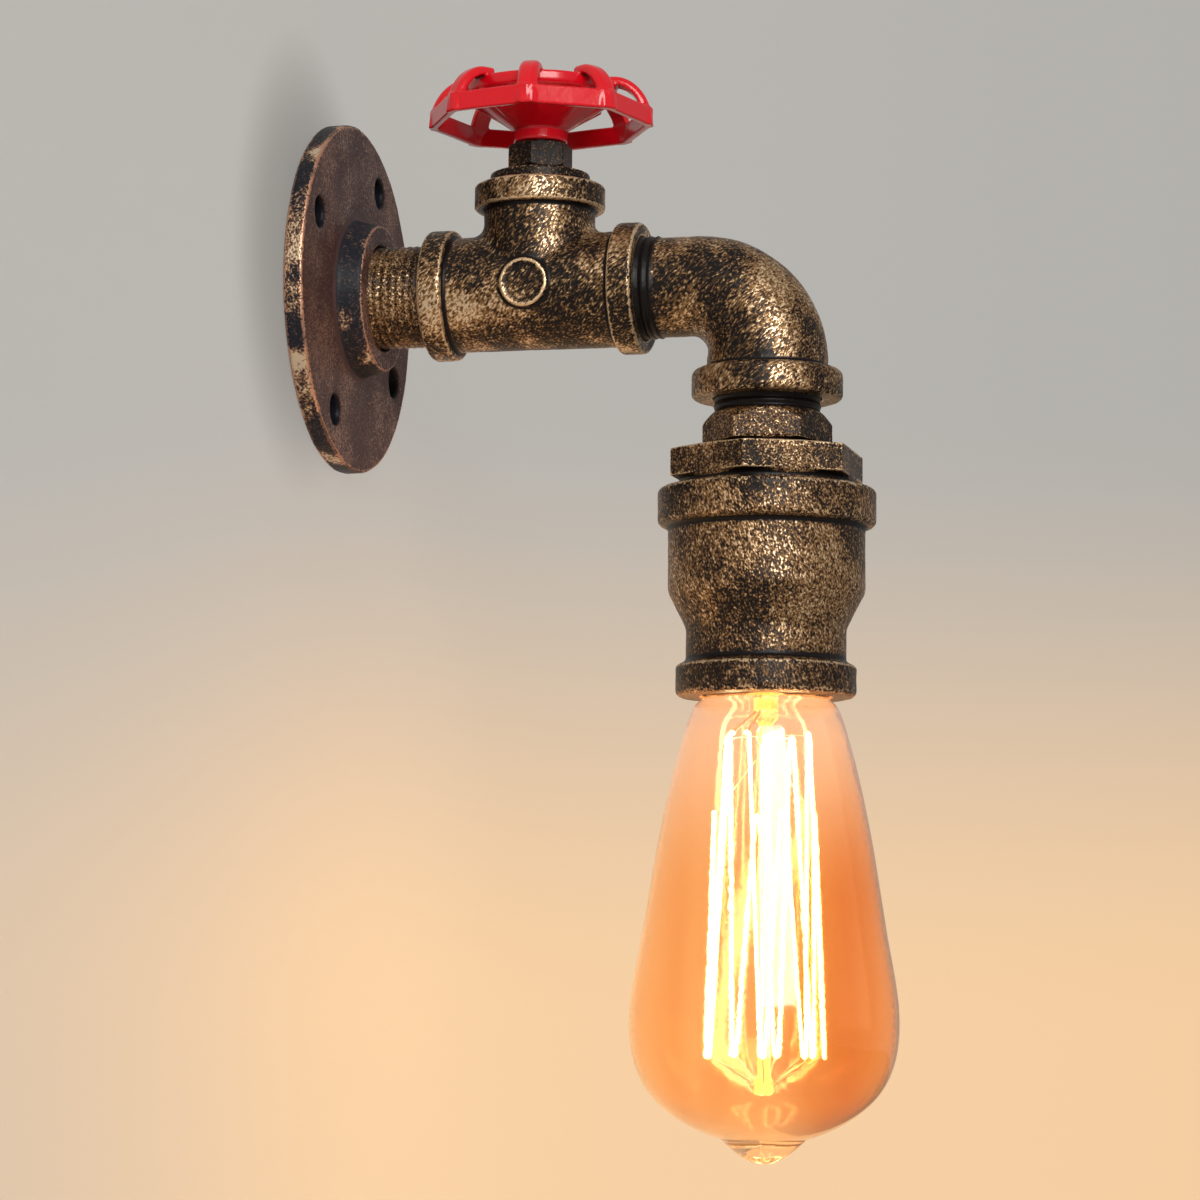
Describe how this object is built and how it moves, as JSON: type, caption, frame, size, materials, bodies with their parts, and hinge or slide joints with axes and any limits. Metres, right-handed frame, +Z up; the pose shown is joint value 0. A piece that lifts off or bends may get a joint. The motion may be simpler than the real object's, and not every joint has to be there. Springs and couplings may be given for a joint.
{
  "type": "pipe wall light",
  "caption": "Industrial wall light of threaded pipe fittings: flange, tee with a red valve handwheel switch, elbow, reducing socket hiding the lampholder and a pear shaped filament bulb.",
  "frame": {"origin": "centre of the wall flange's back face, on the wall plane", "axes": "+Z up; +Y into the wall, so the arm runs out along -Y; +X to the right of someone facing the wall"},
  "size_m": [0.086, 0.1405, 0.2637],
  "materials": {
    "cast_bronze": "black paint dry brushed with antique gold",
    "dark_thread": "black with worn gold edges",
    "red_paint": "gloss red paint",
    "zinc_steel": "zinc plated",
    "brass": "plain brass",
    "tinned_copper": "tinned",
    "switch_plastic": "moulded",
    "ceramic": "glazed",
    "black_glass": "fused glass",
    "cement": "bulb cement",
    "amber_glass": "clear, amber lustre",
    "clear_glass": "clear",
    "glowing_filament": "carbon thread, lit",
    "black_sheath": "matt sheath",
    "brown_core": "insulation",
    "blue_core": "insulation",
    "green_core": "green and yellow insulation"
  },
  "bodies": {
    "fixture": {"wall_flange": "cast_bronze", "tee_body": "cast_bronze", "arm_nipple": "dark_thread", "branch_plug": "dark_thread", "gland_nut": "dark_thread", "earth_screw": "zinc_steel", "earth_tag": "tinned_copper", "switch_housing": "switch_plastic", "switch_cover": "switch_plastic", "switch_pins": "brass", "live_lead": "brown_core", "switched_lead": "brown_core", "neutral_lead": "blue_core", "earth_lead": "green_core", "fixture_flex": "black_sheath"},
    "wheel": {"handwheel": "red_paint", "wheel_shaft": "zinc_steel", "wheel_washer": "zinc_steel", "wheel_nut": "zinc_steel", "switch_rotor": "switch_plastic"},
    "head": {"street_elbow": "cast_bronze", "hex_bushing": "cast_bronze", "reducing_socket": "cast_bronze", "hex_nipple": "dark_thread", "holder_plate": "zinc_steel", "hanger_tube": "zinc_steel", "upper_tube_nut": "zinc_steel", "lower_tube_nut": "zinc_steel", "holder_strap": "zinc_steel", "strap_screws": "zinc_steel", "terminal_screws": "zinc_steel", "lampholder_body": "ceramic", "terminals": "brass", "centre_contact": "brass", "holder_rivets": "brass", "screw_shell": "brass", "drop_flex": "black_sheath", "holder_cores": "brown_core"},
    "end_contact": {"bulb_tip": "tinned_copper"},
    "bulb": {"cap_insulator": "black_glass", "bulb_cap": "brass", "cap_cement": "cement", "glass_envelope": "amber_glass", "glass_mount": "clear_glass", "filament": "glowing_filament", "filament_supports": "tinned_copper", "inner_leads": "tinned_copper"}
  },
  "joints": [
    {"name": "wheel_turn", "type": "hinge", "parent": "fixture", "child": "wheel", "pos_m": [0, -0.0512, 0.03], "axis": [0, 0, 1], "range_deg": [0, 300]},
    {"name": "head_aim", "type": "hinge", "parent": "fixture", "child": "head", "pos_m": [0, -0.078, 0], "axis": [0, -1, 0], "range_deg": [-90, 90]},
    {"name": "bulb_drop", "type": "slide", "parent": "head", "child": "end_contact", "axis": [0, 0, -1], "range_m": [0, 0.01452]},
    {"name": "bulb_turn", "type": "hinge", "parent": "end_contact", "child": "bulb", "pos_m": [0, -0.1085, -0.08], "axis": [0, 0, -1], "range_deg": [0, 1440]}
  ],
  "couplings": [
    {"joint": "bulb_drop", "follows": "bulb_turn", "m_per_rad": 0.00057757}
  ]
}
